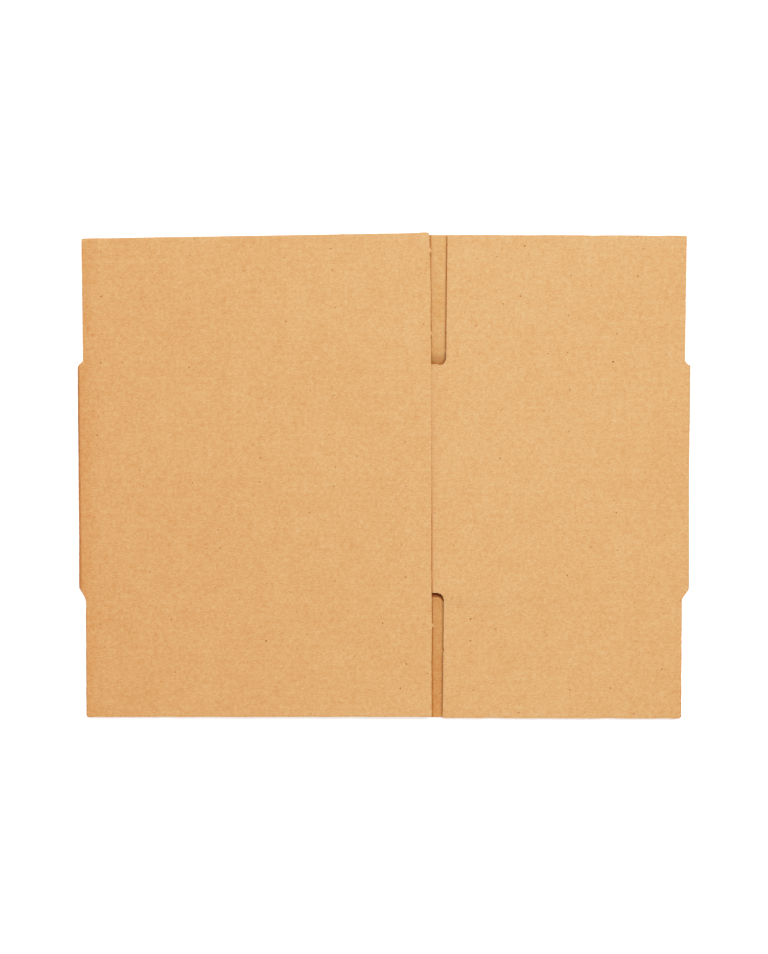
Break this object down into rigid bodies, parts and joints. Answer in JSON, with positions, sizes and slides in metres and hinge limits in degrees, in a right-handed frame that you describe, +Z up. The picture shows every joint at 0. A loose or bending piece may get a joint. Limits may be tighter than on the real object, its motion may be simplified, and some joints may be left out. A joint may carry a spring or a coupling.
{
  "type": "flattened cardboard box",
  "caption": "Plain kraft slotted carton of corrugated board, knocked down flat and glued along an inside tab, with upper flaps that turn up at their scores.",
  "frame": {"origin": "under the middle of the flat carton, on the surface it lies on", "axes": "+X along the flutes from the left fold to the right fold, +Y from the bottom flaps to the top flaps, +Z up through the layers"},
  "size_m": [0.29, 0.23, 0.0063],
  "materials": {
    "kraft_board": "matte uncoated kraft liner"
  },
  "bodies": {
    "carton": {"carton": "kraft_board"},
    "long_flap_top": {"long_flap_top": "kraft_board"},
    "long_flap_bottom": {"long_flap_bottom": "kraft_board"},
    "short_flap_top": {"short_flap_top": "kraft_board"},
    "short_flap_bottom": {"short_flap_bottom": "kraft_board"}
  },
  "joints": [
    {"name": "long_flap_top_fold", "type": "hinge", "parent": "carton", "child": "long_flap_top", "pos_m": [-0.14357, 0.055, 0.00359], "axis": [0.9998, 0.0061, 0.0163], "range_deg": [0, 150]},
    {"name": "long_flap_bottom_fold", "type": "hinge", "parent": "carton", "child": "long_flap_bottom", "pos_m": [-0.14289, -0.055, 0.00361], "axis": [-0.9998, -0.0061, -0.0163], "range_deg": [0, 150]},
    {"name": "short_flap_top_fold", "type": "hinge", "parent": "carton", "child": "short_flap_top", "pos_m": [0.14354, 0.055, 0.0036], "axis": [0.9999, -0.0058, -0.0102], "range_deg": [0, 150]},
    {"name": "short_flap_bottom_fold", "type": "hinge", "parent": "carton", "child": "short_flap_bottom", "pos_m": [0.1429, -0.055, 0.0036], "axis": [-0.9999, 0.0058, 0.0102], "range_deg": [0, 150]}
  ]
}
